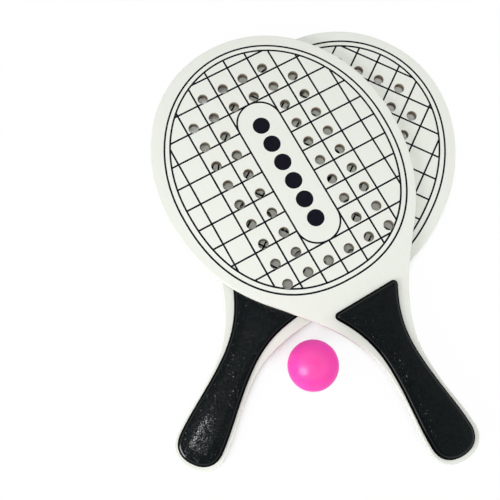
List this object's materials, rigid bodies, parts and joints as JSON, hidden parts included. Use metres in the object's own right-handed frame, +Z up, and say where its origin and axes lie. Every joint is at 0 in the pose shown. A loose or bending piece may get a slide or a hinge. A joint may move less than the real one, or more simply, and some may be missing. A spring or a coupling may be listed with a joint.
{
  "type": "beach paddle ball set",
  "caption": "Wooden beach bats with drilled heads and padded handles, lying crossed one on the other, with a small light ball between the handles.",
  "frame": {"origin": "middle of the set's footprint, on the ground it lies on", "axes": "+Z up, +Y from the handles' side to the heads' side, +X to the right of that"},
  "size_m": [0.2524, 0.359, 0.039],
  "materials": {
    "painted_board": "thin off-white paint, satin, with dark printed lines",
    "black_grip": "leather-grained soft plastic, satin to glossy",
    "pink_ball": "smooth, satin"
  },
  "bodies": {
    "root": {"lower_paddle_board": "painted_board", "lower_paddle_front_grip": "black_grip", "lower_paddle_back_grip": "black_grip", "upper_paddle_board": "painted_board", "upper_paddle_front_grip": "black_grip", "upper_paddle_back_grip": "black_grip", "ball": "pink_ball"}
  },
  "joints": []
}
